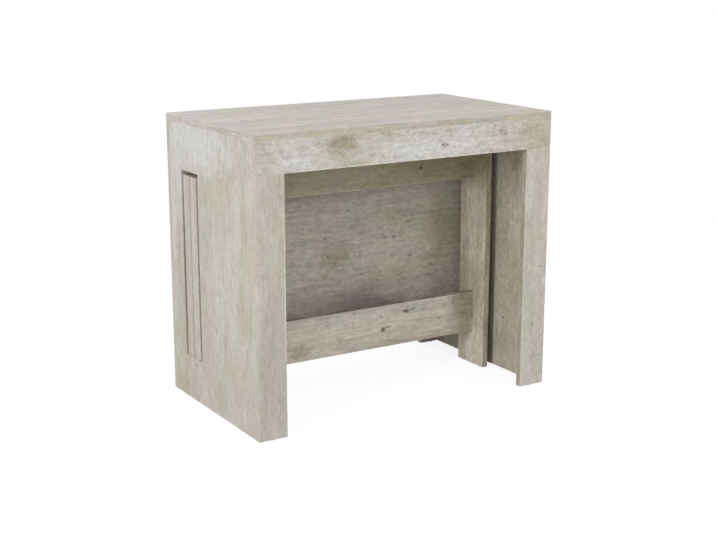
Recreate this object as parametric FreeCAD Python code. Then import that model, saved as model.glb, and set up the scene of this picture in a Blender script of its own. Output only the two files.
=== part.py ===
import FreeCAD, Part
import os

# Extending console table: a front half and a rear half shell that part at mid depth, a centre frame,
# telescopic bars under the tops, and leaves stored on edge in slots of the rear half.
# x runs along the width, y from the front (minus) to the wall side (plus), z up from the floor.
# Every length is in millimetres.

# Whole table, closed
TABLE_WIDTH = 900.0
TABLE_DEPTH = 510.0
TABLE_HEIGHT = 770.0
BOARD = 18.0
EDGE_EASE = 0.8
TOP_SEAM = 1.0
APRON_HEIGHT = 81.0
STILE_WIDTH = 80.0

# Stored leaves and the slots in the rear side panels
LEAF_COUNT = 4
LEAVES_PER_PAIR = 2
LEAF_SHELF = 121.0
SLOT_DROP = 141.0
LEAF_HEADROOM = 13.0
LEAF_SET_IN = 4.0
LEAF_SKIM = 0.5
PAIR_GAP = 4.5
SLOT_FRONT = 68.0
FINGER_GAP = 20.5
SLOT_REAR_PLAY = 3.0

# Pins that line up the leaves and the two half tops
PIN_DIAMETER = 8.0
PIN_PROUD = 9.0
PIN_SUNK = 14.0
PIN_PLAY = 0.4
PIN_END_PLAY = 1.0
PIN_SPREAD_SHARES = (-0.35, 0.0, 0.35)

# Centre frame and its hangers
CREVICE = 29.0
CENTRE_DEPTH = 120.0
RAIL_HEIGHT = 120.0
LOWER_RAIL_FOOT = 102.0
HANGER_DROP = 24.0
HANGER_LENGTH = 80.0
HANGER_STEEL = 3.0
HANGER_GRIP = 40.0
HANGER_SCREW_SHARE = 0.35
HANGER_GRIP_SHARES = (0.3, 0.7)

# Telescopic bars
BAR_COUNT = 7
BAR_WIDTH = 14.0
BAR_HEIGHT = 48.0
BAR_GAP = 1.0
BAR_INSET = 67.0
BAR_END_ROOM = 7.0
BAR_TOP_ROOM = 2.0
GROOVE_HEIGHT_SHARE = 0.4
GROOVE_MOUTH = 14.8
GROOVE_LIP = 3.0
CAVITY_HEIGHT = 26.8
CAVITY_DEPTH = 4.0
RUN_PLAY = 0.4
BLOCK_PLAY = 0.3
BLOCK_LENGTH = 30.0
NUB_DIAMETER = 5.0
NUB_LENGTH = 2.4

# Angle brackets and their screws
BRACKET_LEG = 24.0
BRACKET_WIDTH = 40.0
BRACKET_STEEL = 2.5
BRACKET_PLACE_SHARES = (0.3, 0.75)
BRACKET_HOLE_SHARES = (-0.3, 0.3)
SCREW_DIAMETER = 3.6
SCREW_LENGTH = 14.0
SCREW_HEAD = 7.4
SCREW_HEAD_HEIGHT = 2.0
SCREW_SOCKET = 3.2
SCREW_SOCKET_DEPTH = 1.3
HOLE_PLAY = 0.1
BRACKET_HOLE_PLAY = 0.2

# Wooden dowels
DOWEL_DIAMETER = 8.0
DOWEL_SHALLOW = 11.0
DOWEL_DEEP = 23.0
DOWEL_END_PLAY = 0.5
STILE_DOWEL_SHARES = (0.12, 0.5, 0.88)
APRON_DOWEL_SHARES = (0.35, 0.65)
SIDE_DOWEL_SHARES = (0.12, 0.52, 0.9)
TOP_DOWEL_SHARES = (-0.6, -0.2, 0.2, 0.6)
STILE_TOP_DOWEL_SHARES = (0.25, 0.65)

# Bolts that hold the centre rails between the centre legs
BOLT_DIAMETER = 6.4
BOLT_REACH = 35.0
BOLT_HEAD = 10.0
BOLT_HEAD_HEIGHT = 4.0
BOLT_SOCKET = 5.0
BOLT_SHARES = (0.25, 0.75)

# Floor glides
GLIDE_DIAMETER = 14.0
GLIDE_HEIGHT = 2.0
GLIDE_STEM = 4.0
GLIDE_STEM_LENGTH = 14.0
SIDE_GLIDE_SHARES = (0.1, 0.6)
LEG_GLIDE_SHARES = (-0.35, 0.35)

# Length by which a cutting solid passes the face that it opens
OVERRUN = 5.0

X_AXIS = FreeCAD.Vector(1, 0, 0)
Y_AXIS = FreeCAD.Vector(0, 1, 0)
Z_AXIS = FreeCAD.Vector(0, 0, 1)
MID = FreeCAD.Vector(0, 0, 0)
RIGHT, LEFT = 1, -1

# Levels and planes worked out from the sizes above
TOP_UNDERSIDE = TABLE_HEIGHT - BOARD
APRON_FOOT = TOP_UNDERSIDE - APRON_HEIGHT
OUTER_X = TABLE_WIDTH / 2
INNER_X = OUTER_X - BOARD
OUTER_Y = TABLE_DEPTH / 2
INNER_Y = OUTER_Y - BOARD
SEAM_Y = TOP_SEAM / 2
SIDE_MIDDLE_X = OUTER_X - BOARD / 2
APRON_MIDDLE_Y = OUTER_Y - BOARD / 2
STILE_INNER_X = OUTER_X - STILE_WIDTH

# Leaves fill the height between their shelf and the slot's head, so they set how far the table extends
SLOT_HEAD = TABLE_HEIGHT - SLOT_DROP
LEAF_WIDTH = SLOT_HEAD - LEAF_HEADROOM - LEAF_SHELF
LEAF_LENGTH = TABLE_WIDTH - 2 * LEAF_SET_IN
EXTENSION = LEAF_COUNT * LEAF_WIDTH

# Bars run the closed depth between the aprons, each moves one equal step past the one before,
# and the middle one carries the centre frame
CENTRE_BAR = (BAR_COUNT + 1) // 2
BAR_LENGTH = 2 * (INNER_Y - BAR_END_ROOM)
BAR_END = BAR_LENGTH / 2
BAR_STEP = EXTENSION / (BAR_COUNT - 1)
BAR_TOP = TOP_UNDERSIDE - BAR_TOP_ROOM
BAR_FOOT = BAR_TOP - BAR_HEIGHT
BAR_FIRST_OUTER = INNER_X - BAR_INSET
GROOVE_Z = BAR_FOOT + GROOVE_HEIGHT_SHARE * BAR_HEIGHT
CAVITY_TOP = GROOVE_Z + CAVITY_HEIGHT / 2
WEB = BAR_WIDTH - GROOVE_LIP - CAVITY_DEPTH

# Bracket holes sit level with the solid head of a bar, above its groove
BRACKET_HOLE = TOP_UNDERSIDE - (BAR_TOP + CAVITY_TOP) / 2

# Centre frame hangs below the bars
FRAME_TOP = BAR_FOOT - HANGER_DROP
LEG_OUTER_X = INNER_X - CREVICE
LEG_INNER_X = LEG_OUTER_X - BOARD


def span_box(x_span, y_span, z_span):
    """Box between two places on each axis, given in either order."""
    low = FreeCAD.Vector(min(x_span), min(y_span), min(z_span))
    high = FreeCAD.Vector(max(x_span), max(y_span), max(z_span))
    size = high - low
    return Part.makeBox(size.x, size.y, size.z, low)


def board(x_span, y_span, z_span):
    """Board with every edge eased."""
    blank = span_box(x_span, y_span, z_span)
    return blank.makeFillet(EDGE_EASE, blank.Edges)


def rod(start, axis, diameter, length):
    """Round rod from a start point along an axis."""
    return Part.makeCylinder(diameter / 2, length, start, axis)


def along(span, share):
    """Place at a share of the way along a span."""
    return span[0] + share * (span[1] - span[0])


def to_front(shape):
    """Front counterpart of a shape made for the rear half."""
    return shape.mirror(MID, Y_AXIS)


def to_left(shape):
    """Left counterpart of a shape made for the right side."""
    return shape.mirror(MID, X_AXIS)


def drilled(solid, holes):
    """Solid with a list of holes cut out of it."""
    return solid.cut(holes) if holes else solid


def save(name, solids):
    """Write one named piece, or one group of like pieces."""
    shape = solids[0] if len(solids) == 1 else Part.makeCompound(solids)
    shape.exportStep(os.path.join("parts", name + ".step"))


def screw(seat, axis):
    """Socket screw whose head rests on the seat and whose shank runs along the axis."""
    crown = seat - axis * SCREW_HEAD_HEIGHT
    head = rod(crown, axis, SCREW_HEAD, SCREW_HEAD_HEIGHT)
    socket = rod(crown, axis, SCREW_SOCKET, SCREW_SOCKET_DEPTH)
    return head.cut(socket).fuse(rod(seat, axis, SCREW_DIAMETER, SCREW_LENGTH))


def screw_hole(seat, axis, play):
    """Hole for a screw's shank, with play all round and at its end."""
    return rod(seat, axis, SCREW_DIAMETER + 2 * play, SCREW_LENGTH + play)


def dowel(seat, axis):
    """Dowel across a joint, its short end along the axis."""
    return rod(seat - axis * DOWEL_DEEP, axis, DOWEL_DIAMETER, DOWEL_DEEP + DOWEL_SHALLOW)


def dowel_hole(seat, axis):
    """Hole pair for a dowel, with play all round and at both ends."""
    start = seat - axis * (DOWEL_DEEP + DOWEL_END_PLAY)
    length = DOWEL_DEEP + DOWEL_SHALLOW + 2 * DOWEL_END_PLAY
    return rod(start, axis, DOWEL_DIAMETER + 2 * HOLE_PLAY, length)


def dowel_seats():
    """Joint point and short-end direction of each dowel in the rear half."""
    seats = []
    for side in (RIGHT, LEFT):
        panel_x = side * SIDE_MIDDLE_X
        for share in STILE_DOWEL_SHARES:
            height = along((GLIDE_HEIGHT, APRON_FOOT), share)
            seats.append((FreeCAD.Vector(panel_x, INNER_Y, height), Y_AXIS))
        for share in APRON_DOWEL_SHARES:
            height = along((APRON_FOOT, TOP_UNDERSIDE), share)
            seats.append((FreeCAD.Vector(panel_x, INNER_Y, height), Y_AXIS))
        for share in SIDE_DOWEL_SHARES:
            depth = along((SEAM_Y, INNER_Y), share)
            seats.append((FreeCAD.Vector(panel_x, depth, TOP_UNDERSIDE), Z_AXIS))
        for share in STILE_TOP_DOWEL_SHARES:
            place = side * along((STILE_INNER_X, OUTER_X), share)
            seats.append((FreeCAD.Vector(place, APRON_MIDDLE_Y, APRON_FOOT), Z_AXIS))
    for share in TOP_DOWEL_SHARES:
        seats.append((FreeCAD.Vector(share * OUTER_X, APRON_MIDDLE_Y, TOP_UNDERSIDE), Z_AXIS))
    return seats


def glide(foot):
    """Floor glide: a disc with a stem that is driven into the board above it."""
    disc = rod(foot, Z_AXIS, GLIDE_DIAMETER, GLIDE_HEIGHT)
    return disc.fuse(rod(foot + Z_AXIS * GLIDE_HEIGHT, Z_AXIS, GLIDE_STEM, GLIDE_STEM_LENGTH))


def glide_hole(foot):
    """Hole for a glide's stem."""
    length = GLIDE_HEIGHT + GLIDE_STEM_LENGTH + HOLE_PLAY
    return rod(foot, Z_AXIS, GLIDE_STEM + 2 * HOLE_PLAY, length)


def half_glide_feet():
    """Floor points of the rear half's glides."""
    feet = []
    for side in (RIGHT, LEFT):
        feet.append(FreeCAD.Vector(side * (OUTER_X - STILE_WIDTH / 2), APRON_MIDDLE_Y, 0))
        for share in SIDE_GLIDE_SHARES:
            feet.append(FreeCAD.Vector(side * SIDE_MIDDLE_X, along((SEAM_Y, INNER_Y), share), 0))
    return feet


def bar_outer(number):
    """Outer face of a bar, counted from the side panel inwards."""
    return BAR_FIRST_OUTER - (number - 1) * (BAR_WIDTH + BAR_GAP)


def bracket_corners(bar_number, bar_side):
    """Corner place and leg direction of the brackets on one half: panel ones, then bar ones.

    bar_side is 1 where the bracket stands on the bar's outer face and -1 on its inner face.
    """
    face = bar_outer(bar_number) if bar_side > 0 else bar_outer(bar_number) - BAR_WIDTH
    panel = []
    bars = []
    for side in (RIGHT, LEFT):
        for share in BRACKET_PLACE_SHARES:
            depth = along((SEAM_Y, INNER_Y), share)
            panel.append((side * INNER_X, -side, depth))
            bars.append((side * face, side * bar_side, depth))
    return panel, bars


def bracket_seats(corner_x, direction, depth):
    """Seats and axes of the screws in one angle bracket."""
    seats = []
    for share in BRACKET_HOLE_SHARES:
        place = depth + share * BRACKET_WIDTH
        up = FreeCAD.Vector(corner_x + direction * BRACKET_HOLE, place, TOP_UNDERSIDE - BRACKET_STEEL)
        seats.append((up, Z_AXIS))
        across = FreeCAD.Vector(corner_x + direction * BRACKET_STEEL, place, TOP_UNDERSIDE - BRACKET_HOLE)
        seats.append((across, X_AXIS * -direction))
    return seats


def bracket(corner_x, direction, depth):
    """Angle bracket under a top, its other leg flat on a side panel or a bar."""
    width = (depth - BRACKET_WIDTH / 2, depth + BRACKET_WIDTH / 2)
    reach = corner_x + direction * BRACKET_LEG
    flat = span_box((corner_x, reach), width, (TOP_UNDERSIDE - BRACKET_STEEL, TOP_UNDERSIDE))
    skin = corner_x + direction * BRACKET_STEEL
    upright = span_box((corner_x, skin), width, (TOP_UNDERSIDE - BRACKET_LEG, TOP_UNDERSIDE))
    seats = bracket_seats(corner_x, direction, depth)
    holes = [screw_hole(seat, axis, BRACKET_HOLE_PLAY) for seat, axis in seats]
    return drilled(flat.fuse(upright).removeSplitter(), holes)


def pin_places():
    """Places along the width of the pins in a top or a leaf."""
    return [share * TABLE_WIDTH for share in PIN_SPREAD_SHARES]


def pins(line, axis):
    """Pins along an edge whose middle is the given point, standing proud along the axis."""
    start = line - axis * PIN_SUNK
    return [rod(start + X_AXIS * place, axis, PIN_DIAMETER, PIN_SUNK + PIN_PROUD) for place in pin_places()]


def pin_holes(line, axis):
    """Tight holes for the sunk ends of those pins."""
    start = line - axis * (PIN_SUNK + HOLE_PLAY)
    diameter = PIN_DIAMETER + 2 * HOLE_PLAY
    length = PIN_SUNK + HOLE_PLAY + OVERRUN
    return [rod(start + X_AXIS * place, axis, diameter, length) for place in pin_places()]


def pin_sockets(line, axis):
    """Loose sockets for pins that enter along the axis."""
    start = line - axis * OVERRUN
    diameter = PIN_DIAMETER + 2 * PIN_PLAY
    length = OVERRUN + PIN_PROUD + PIN_END_PLAY
    return [rod(start + X_AXIS * place, axis, diameter, length) for place in pin_places()]


def leaf_front(number):
    """Front face of a stored leaf, counted from the front."""
    pair = (number - 1) // LEAVES_PER_PAIR
    return SLOT_FRONT + FINGER_GAP + (number - 1) * (BOARD + LEAF_SKIM) + pair * (PAIR_GAP - LEAF_SKIM)


def leaf_slot():
    """Opening cut through a rear side panel for the stored leaves, on the right side."""
    rear = leaf_front(LEAF_COUNT) + BOARD + SLOT_REAR_PLAY
    return span_box((INNER_X - OVERRUN, OUTER_X + OVERRUN), (SLOT_FRONT, rear), (LEAF_SHELF, SLOT_HEAD))


def key_spans(outer, play):
    """x and half-height spans of the neck and the head that run in the next bar's groove."""
    lip_inside = outer + BAR_GAP + GROOVE_LIP
    neck = ((outer, lip_inside + play), GROOVE_MOUTH / 2 - play)
    head = ((lip_inside + play, lip_inside + CAVITY_DEPTH - play), CAVITY_HEIGHT / 2 - play)
    return neck, head


def key(outer, play, y_span):
    """Tongue or slide block on a bar's outer face, with the given play in the groove."""
    (neck_x, neck_half), (head_x, head_half) = key_spans(outer, play)
    neck = span_box(neck_x, y_span, (GROOVE_Z - neck_half, GROOVE_Z + neck_half))
    head = span_box(head_x, y_span, (GROOVE_Z - head_half, GROOVE_Z + head_half))
    return neck.fuse(head).removeSplitter()


def nub_place():
    """Place along y of the stop nub on a slide block."""
    return BAR_END - BLOCK_LENGTH / 2


def groove(inner):
    """Undercut groove in a bar's inner face, with the blind slot that stops the next bar's nub."""
    run = (-BAR_END - OVERRUN, BAR_END + OVERRUN)
    lip_inside = inner + GROOVE_LIP
    floor = lip_inside + CAVITY_DEPTH
    mouth_z = (GROOVE_Z - GROOVE_MOUTH / 2, GROOVE_Z + GROOVE_MOUTH / 2)
    mouth = span_box((inner - OVERRUN, lip_inside), run, mouth_z)
    cavity = span_box((lip_inside, floor), run, (GROOVE_Z - CAVITY_HEIGHT / 2, CAVITY_TOP))
    reach = NUB_DIAMETER / 2 + RUN_PLAY
    stop_run = (nub_place() - BAR_STEP - reach, nub_place() + reach)
    stop = span_box((floor, floor + NUB_LENGTH), stop_run, (GROOVE_Z - reach, GROOVE_Z + reach))
    return [mouth, cavity, stop]


def slide_bar(number):
    """One right-hand telescopic bar: groove on its inner face, tongue on its outer face."""
    outer = bar_outer(number)
    inner = outer - BAR_WIDTH
    bar = span_box((inner, outer), (-BAR_END, BAR_END), (BAR_FOOT, BAR_TOP))
    if number < BAR_COUNT:
        bar = bar.cut(groove(inner))
    if number > 1:
        bar = bar.fuse(key(outer, RUN_PLAY, (-BAR_END, BAR_END - BLOCK_LENGTH))).removeSplitter()
    return bar


def slide_block(number):
    """Nylon block at the rear end of a right-hand bar's tongue, with its stop nub."""
    outer = bar_outer(number)
    block = key(outer, BLOCK_PLAY, (BAR_END - BLOCK_LENGTH, BAR_END))
    head_face = key_spans(outer, BLOCK_PLAY)[1][0][1]
    nub_start = FreeCAD.Vector(head_face, nub_place(), GROOVE_Z)
    return block.fuse(rod(nub_start, X_AXIS, NUB_DIAMETER, NUB_LENGTH))


def save_slides(holes_by_bar):
    """All telescopic bars, left and right, and the slide blocks of each moving pair."""
    for number in range(1, BAR_COUNT + 1):
        bar = slide_bar(number)
        holes = holes_by_bar.get(number, [])
        save("slide_bar_right_%d" % number, [drilled(bar, holes)])
        save("slide_bar_left_%d" % number, [drilled(to_left(bar), holes)])
        if number > 1:
            block = slide_block(number)
            save("slide_blocks_%d" % number, [block, to_left(block)])


def save_half(name, turn, bar_number, bar_side, seam_holes, slots):
    """One half shell with its hardware, made as the rear half and turned to its place.

    Returns the screw holes that fall in the half's bar.
    """
    dowels = dowel_seats()
    feet = half_glide_feet()
    panel_corners, bar_corners = bracket_corners(bar_number, bar_side)
    screws = [seat for corner in panel_corners + bar_corners for seat in bracket_seats(*corner)]
    screw_holes = [screw_hole(seat, axis, HOLE_PLAY) for seat, axis in screws]
    holes = [dowel_hole(seat, axis) for seat, axis in dowels] + screw_holes
    holes += [glide_hole(foot) for foot in feet]

    top = board((-OUTER_X, OUTER_X), (SEAM_Y, OUTER_Y), (TOP_UNDERSIDE, TABLE_HEIGHT))
    apron = board((-OUTER_X, OUTER_X), (INNER_Y, OUTER_Y), (APRON_FOOT, TOP_UNDERSIDE))
    stile = board((STILE_INNER_X, OUTER_X), (INNER_Y, OUTER_Y), (GLIDE_HEIGHT, APRON_FOOT))
    panel = board((INNER_X, OUTER_X), (SEAM_Y, INNER_Y), (GLIDE_HEIGHT, TOP_UNDERSIDE))
    panel = drilled(panel, slots)

    save(name + "_top", [turn(drilled(top, holes + seam_holes))])
    save(name + "_apron", [turn(drilled(apron, holes))])
    save(name + "_right_side", [turn(drilled(panel, holes))])
    save(name + "_left_side", [turn(drilled(to_left(panel), holes))])
    save(name + "_right_stile", [turn(drilled(stile, holes))])
    save(name + "_left_stile", [turn(drilled(to_left(stile), holes))])
    save(name + "_dowels", [turn(dowel(seat, axis)) for seat, axis in dowels])
    save(name + "_corner_brackets", [turn(bracket(*corner)) for corner in panel_corners])
    save(name + "_bar_brackets", [turn(bracket(*corner)) for corner in bar_corners])
    save(name + "_screws", [turn(screw(seat, axis)) for seat, axis in screws])
    save(name + "_glides", [turn(glide(foot)) for foot in feet])
    return [turn(hole) for hole in screw_holes]


def hanger_bar_x():
    """Middle of the centre bar's solid web, where the hanger screws rise into it."""
    return bar_outer(CENTRE_BAR) - WEB / 2


def hanger_seats():
    """Seats and axes of the right-hand hanger's screws: two into the bar, two into the rail."""
    seats = []
    for direction in (RIGHT, LEFT):
        place = direction * HANGER_SCREW_SHARE * HANGER_LENGTH
        seats.append((FreeCAD.Vector(hanger_bar_x(), place, BAR_FOOT - HANGER_STEEL), Z_AXIS))
    middle = bar_outer(CENTRE_BAR) - BAR_WIDTH / 2
    for direction, share in zip((RIGHT, LEFT), HANGER_GRIP_SHARES):
        height = FRAME_TOP - share * HANGER_GRIP
        face = direction * (BOARD / 2 + HANGER_STEEL)
        seats.append((FreeCAD.Vector(middle, face, height), Y_AXIS * -direction))
    return seats


def hanger():
    """Right-hand strap that hangs the centre frame from the centre bar and straddles the upper rail."""
    outer = bar_outer(CENTRE_BAR)
    width = (outer - BAR_WIDTH, outer)
    strap = span_box(width, (-HANGER_LENGTH / 2, HANGER_LENGTH / 2), (BAR_FOOT - HANGER_STEEL, BAR_FOOT))
    for direction in (RIGHT, LEFT):
        faces = (direction * BOARD / 2, direction * (BOARD / 2 + HANGER_STEEL))
        strap = strap.fuse(span_box(width, faces, (FRAME_TOP - HANGER_GRIP, BAR_FOOT)))
    holes = [screw_hole(seat, axis, BRACKET_HOLE_PLAY) for seat, axis in hanger_seats()]
    return drilled(strap.removeSplitter(), holes)


def bolt(seat, axis):
    """Socket bolt from a leg's outer face, where its head lies flush, into a rail."""
    head = rod(seat, axis, BOLT_HEAD, BOLT_HEAD_HEIGHT)
    shank = rod(seat, axis, BOLT_DIAMETER, BOARD + BOLT_REACH)
    return head.fuse(shank).cut(rod(seat, axis, BOLT_SOCKET, BOLT_HEAD_HEIGHT))


def bolt_hole(seat, axis):
    """Stepped hole for a bolt, with play all round and at both ends."""
    head = rod(seat, axis, BOLT_HEAD + 2 * HOLE_PLAY, BOLT_HEAD_HEIGHT + HOLE_PLAY)
    return head.fuse(rod(seat, axis, BOLT_DIAMETER + 2 * HOLE_PLAY, BOARD + BOLT_REACH + HOLE_PLAY))


def save_centre_frame():
    """Centre legs, rails, hangers and their hardware. Returns the screw holes in the centre bars."""
    upper = (FRAME_TOP - RAIL_HEIGHT, FRAME_TOP)
    lower = (LOWER_RAIL_FOOT, LOWER_RAIL_FOOT + RAIL_HEIGHT)
    rail_x = (-LEG_INNER_X, LEG_INNER_X)
    rail_y = (-BOARD / 2, BOARD / 2)
    leg = board((LEG_INNER_X, LEG_OUTER_X), (-CENTRE_DEPTH / 2, CENTRE_DEPTH / 2), (GLIDE_HEIGHT, FRAME_TOP))

    feet = []
    bolts = []
    for side in (RIGHT, LEFT):
        middle_x = side * (LEG_OUTER_X - BOARD / 2)
        feet += [FreeCAD.Vector(middle_x, share * CENTRE_DEPTH, 0) for share in LEG_GLIDE_SHARES]
        for rail in (upper, lower):
            for share in BOLT_SHARES:
                seat = FreeCAD.Vector(side * LEG_OUTER_X, 0, along(rail, share))
                bolts.append((seat, X_AXIS * -side))
    right_screws = [screw(seat, axis) for seat, axis in hanger_seats()]
    right_holes = [screw_hole(seat, axis, HOLE_PLAY) for seat, axis in hanger_seats()]
    screw_holes = right_holes + [to_left(hole) for hole in right_holes]
    holes = [bolt_hole(seat, axis) for seat, axis in bolts] + screw_holes
    holes += [glide_hole(foot) for foot in feet]

    save("centre_right_leg", [drilled(leg, holes)])
    save("centre_left_leg", [drilled(to_left(leg), holes)])
    save("centre_upper_rail", [drilled(board(rail_x, rail_y, upper), holes)])
    save("centre_lower_rail", [drilled(board(rail_x, rail_y, lower), holes)])
    save("centre_bolts", [bolt(seat, axis) for seat, axis in bolts])
    save("centre_hangers", [hanger(), to_left(hanger())])
    save("centre_screws", right_screws + [to_left(solid) for solid in right_screws])
    save("centre_glides", [glide(foot) for foot in feet])
    return screw_holes


def save_leaves():
    """Stored leaves, standing on edge, each with pins on its upper edge and sockets in its lower edge."""
    for number in range(1, LEAF_COUNT + 1):
        front = leaf_front(number)
        middle = front + BOARD / 2
        head = FreeCAD.Vector(0, middle, LEAF_SHELF + LEAF_WIDTH)
        foot = FreeCAD.Vector(0, middle, LEAF_SHELF)
        length = (-LEAF_LENGTH / 2, LEAF_LENGTH / 2)
        leaf = board(length, (front, front + BOARD), (foot.z, head.z))
        save("leaf_%d_board" % number, [drilled(leaf, pin_holes(head, Z_AXIS) + pin_sockets(foot, Z_AXIS))])
        save("leaf_%d_pins" % number, pins(head, Z_AXIS))


def main():
    """Make every piece of the table and write it to its own file."""
    os.makedirs("parts", exist_ok=True)
    seam_line = FreeCAD.Vector(0, SEAM_Y, TABLE_HEIGHT - BOARD / 2)
    slot = leaf_slot()
    rear_holes = save_half("rear", Part.Shape.copy, 1, RIGHT, pin_holes(seam_line, -Y_AXIS), [slot])
    front_sockets = pin_sockets(seam_line, Y_AXIS)
    front_holes = save_half("front", to_front, BAR_COUNT, LEFT, front_sockets, [])
    save("rear_seam_pins", pins(seam_line, -Y_AXIS))
    centre_holes = save_centre_frame()
    save_slides({1: rear_holes, CENTRE_BAR: centre_holes, BAR_COUNT: front_holes})
    save_leaves()


main()
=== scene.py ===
"""Finishes, light and camera for the extending console table.

Every length is in metres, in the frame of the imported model: x along the width, y from the front
(minus) to the wall side (plus), z up from the floor. Shares and strengths run from 0 to 1.
"""
import logging
import math
from dataclasses import dataclass, replace
from enum import Enum, IntEnum
from functools import reduce

import bpy
from mathutils import Color, Matrix, Vector


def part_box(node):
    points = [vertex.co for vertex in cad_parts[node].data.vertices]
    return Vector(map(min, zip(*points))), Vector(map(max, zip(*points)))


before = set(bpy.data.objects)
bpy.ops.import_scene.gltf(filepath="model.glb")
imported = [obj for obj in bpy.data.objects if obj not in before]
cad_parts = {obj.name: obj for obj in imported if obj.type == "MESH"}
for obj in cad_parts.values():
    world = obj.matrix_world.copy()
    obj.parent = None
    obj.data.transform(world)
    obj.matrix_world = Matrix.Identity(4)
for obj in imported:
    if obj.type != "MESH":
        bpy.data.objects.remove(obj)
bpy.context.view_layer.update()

Pair = tuple[float, float]
Triple = tuple[float, float, float]
Colour = tuple[float, float, float, float]
Tree = bpy.types.NodeTree
Node = bpy.types.Node
Socket = bpy.types.NodeSocket
Material = bpy.types.Material
Sockets = dict[str, Socket]
Wire = Socket | float | Triple | Colour
Feeds = dict[int | str, Wire]

LOG = logging.getLogger("console_table")
HANDS = ("left", "right")
NOWHERE: Triple = (0.0, 0.0, 0.0)
WHITE: Colour = (1.0, 1.0, 1.0, 1.0)
DISPLAY_FULL = 255


def linear(red: int, green: int, blue: int) -> Colour:
    """Turn a display colour, 0 to 255 a channel, into opaque linear light."""
    shown = Color((red / DISPLAY_FULL, green / DISPLAY_FULL, blue / DISPLAY_FULL))
    return (*shown.from_srgb_to_scene_linear(), 1.0)


def even(value: float) -> Triple:
    """The same value three times."""
    return (value, value, value)


class Tone(Enum):
    """Tones of the weathered board print."""

    PALE = linear(211, 212, 209)
    GREIGE = linear(194, 188, 177)
    ASH = linear(190, 185, 179)
    ROSE = linear(199, 188, 181)
    DOVE = linear(200, 191, 182)
    CREAM = linear(217, 209, 197)
    STRAW = linear(230, 222, 200)
    SAND = linear(214, 206, 187)
    OLIVE = linear(184, 177, 156)
    MOSS = linear(170, 161, 137)
    TAN = linear(160, 149, 120)
    MAUVE = linear(168, 158, 154)
    # Smudges in the print; also the painted shade on the stored leaves' edges.
    SMUDGE_AND_SHADE = linear(156, 147, 129)
    PLUM = linear(146, 135, 133)
    UMBER = linear(84, 74, 60)
    BAND = linear(186, 177, 160)
    WORN = linear(222, 217, 208)


class Ground(Enum):
    """Pairs of tones that drift into each other under a board's print."""

    ROSY = (Tone.GREIGE, Tone.ROSE)
    ASHEN = (Tone.ASH, Tone.ROSE)
    DOVE = (Tone.DOVE, Tone.GREIGE)
    BLEACHED = (Tone.CREAM, Tone.DOVE)
    MOSSY = (Tone.MOSS, Tone.OLIVE)


class BoardLay(Enum):
    """How a board lies: its grain, width and thickness directions as rows of a turn."""

    FLAT = ((1, 0, 0), (0, 1, 0), (0, 0, 1))
    RAIL = ((1, 0, 0), (0, 0, 1), (0, -1, 0))
    STILE = ((0, 0, 1), (1, 0, 0), (0, 1, 0))
    PANEL = ((0, 0, 1), (0, 1, 0), (-1, 0, 0))

    def turn(self) -> Triple:
        """Angles that bring the grain to x, the width to y and the thickness to z."""
        return tuple(Matrix(self.value).to_euler())


class Axis(IntEnum):
    """Axes of the frame that a face can be square to."""

    X = 0
    Y = 1


class MixSocket(IntEnum):
    """Places of a mix node's sockets for colours."""

    SHARE = 0
    BASE = 6
    OVER = 7
    RESULT = 2


class Kind(Enum):
    """Kinds of socket on a shared group."""

    VALUE = "NodeSocketFloat"
    VECTOR = "NodeSocketVector"
    COLOUR = "NodeSocketColor"


SocketNames = dict[Kind, tuple[str, ...]]


class Dial(Enum):
    """Inputs of the board print that scale its layers of light and dark."""

    CONTRAST = "Contrast"
    STREAK = "Streak"


@dataclass(frozen=True)
class Cloud:
    """Cloudy value from 0 to 1: clouds to the metre along x, y and z, how many finer layers are added
    and how strong they are, and which part of the clouds is used."""

    pitch: Wire
    detail: float
    roughness: float = 0.5
    shift: Triple = NOWHERE

    MIDDLE = 0.5


@dataclass(frozen=True)
class Step:
    """Smooth step of a value between two levels, and the results there."""

    low: float
    high: float
    start: float = 0.0
    end: float = 1.0


@dataclass(frozen=True)
class Patches:
    """Clouds cut to patches, and the step that is their outline."""

    cloud: Cloud
    outline: Step


@dataclass(frozen=True)
class Spots:
    """Scattered spots: points to the metre, their outline in cells, and which of them show."""

    pitch: Triple
    outline: Step
    chance: Step


@dataclass(frozen=True)
class Layer:
    """Layer of light and dark in the grain: its clouds, its strength and what scales it."""

    cloud: Cloud
    strength: float
    dial: Dial


# Step on a direction's share, for faces that look along it.
SQUARE_ON = Step(0.55, 0.75)


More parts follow.
